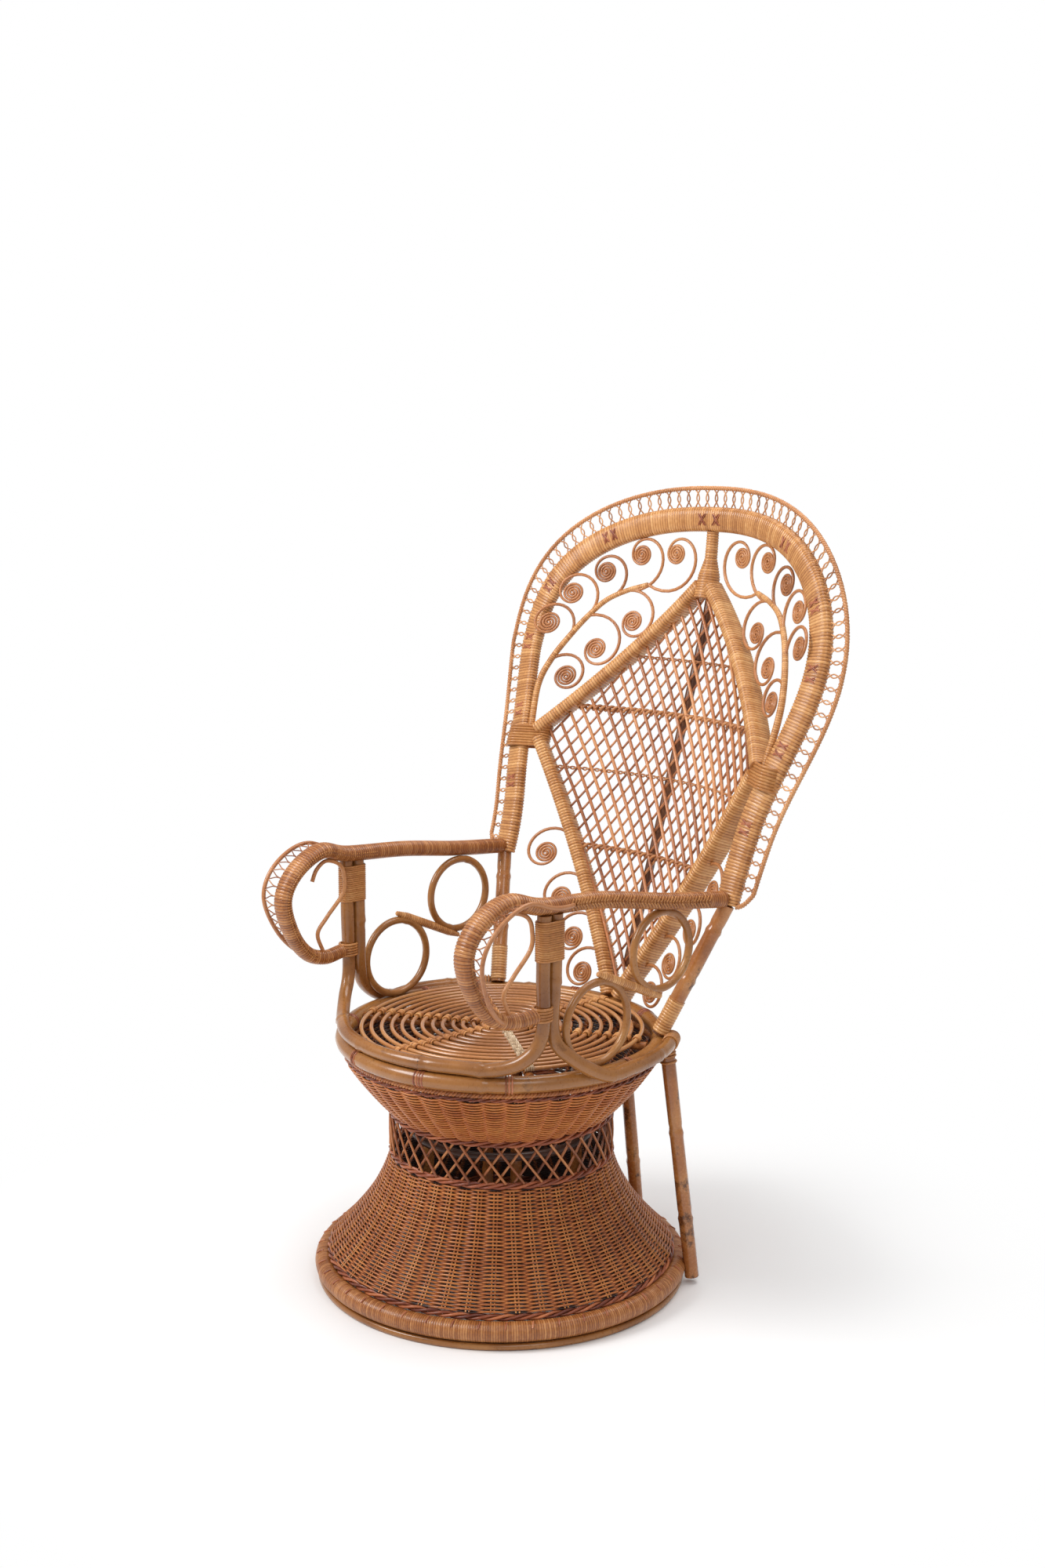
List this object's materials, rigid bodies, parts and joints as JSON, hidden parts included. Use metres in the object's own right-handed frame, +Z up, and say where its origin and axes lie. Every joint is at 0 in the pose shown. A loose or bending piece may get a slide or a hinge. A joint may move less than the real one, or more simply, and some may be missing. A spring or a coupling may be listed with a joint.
{
  "type": "peacock chair",
  "caption": "Freestanding wicker armchair with a tall fan back of scrolls and lattice, curled arms, a round rod seat and a woven hourglass base",
  "frame": {"origin": "middle of the bounding box, on the floor", "axes": "+Z up, the sitter faces -Y, +X on the viewer's right seen from the front"},
  "size_m": [0.7398, 0.7496, 1.21],
  "materials": {
    "wrapped_cane": "varnished cane wrapping",
    "bare_cane": "glossy varnished cane",
    "thin_rod": "varnished round reed",
    "braid": "reddish braided cane",
    "weave": "woven flat reed"
  },
  "bodies": {
    "root": {"base_ring": "wrapped_cane", "arch_frame": "wrapped_cane", "apex_post": "wrapped_cane", "kite_lower_left": "wrapped_cane", "kite_lower_right": "wrapped_cane", "kite_upper_left": "wrapped_cane", "kite_upper_right": "wrapped_cane", "kite_binding_left": "wrapped_cane", "kite_binding_right": "wrapped_cane", "arm_rail_left": "wrapped_cane", "arm_rail_right": "wrapped_cane", "ring_link_left": "wrapped_cane", "ring_link_right": "wrapped_cane", "post_binding_left": "wrapped_cane", "post_binding_right": "wrapped_cane", "floor_hoop": "bare_cane", "seat_hoop": "bare_cane", "seat_spokes": "bare_cane", "front_rim_cane": "bare_cane", "centre_stake": "bare_cane", "inner_waist_hoop": "bare_cane", "rear_leg_centre": "bare_cane", "inner_post_1": "bare_cane", "inner_post_2": "bare_cane", "inner_post_3": "bare_cane", "inner_post_4": "bare_cane", "rear_leg_left": "bare_cane", "rear_leg_right": "bare_cane", "side_cane_left": "bare_cane", "side_cane_right": "bare_cane", "upright_left": "bare_cane", "upright_right": "bare_cane", "lower_arm_ring_left": "bare_cane", "lower_arm_ring_right": "bare_cane", "upper_arm_ring_left": "bare_cane", "upper_arm_ring_right": "bare_cane", "waist_lattice": "thin_rod", "seat_coil": "thin_rod", "kite_lattice": "thin_rod", "scroll_tree_left": "thin_rod", "scroll_tree_right": "thin_rod", "arm_s_scroll_left": "thin_rod", "arm_s_scroll_right": "thin_rod", "lower_scroll_1_left": "thin_rod", "lower_scroll_1_right": "thin_rod", "lower_scroll_2_left": "thin_rod", "lower_scroll_2_right": "thin_rod", "lower_scroll_3_left": "thin_rod", "lower_scroll_3_right": "thin_rod", "lower_scroll_4_left": "thin_rod", "lower_scroll_4_right": "thin_rod", "skirt_foot_border": "braid", "waist_lower_border": "braid", "waist_upper_border": "braid", "basket_rim_border": "braid", "back_lace": "braid", "arm_lace_left": "braid", "arm_lace_right": "braid", "lower_skirt": "weave", "upper_basket": "weave"}
  },
  "joints": []
}
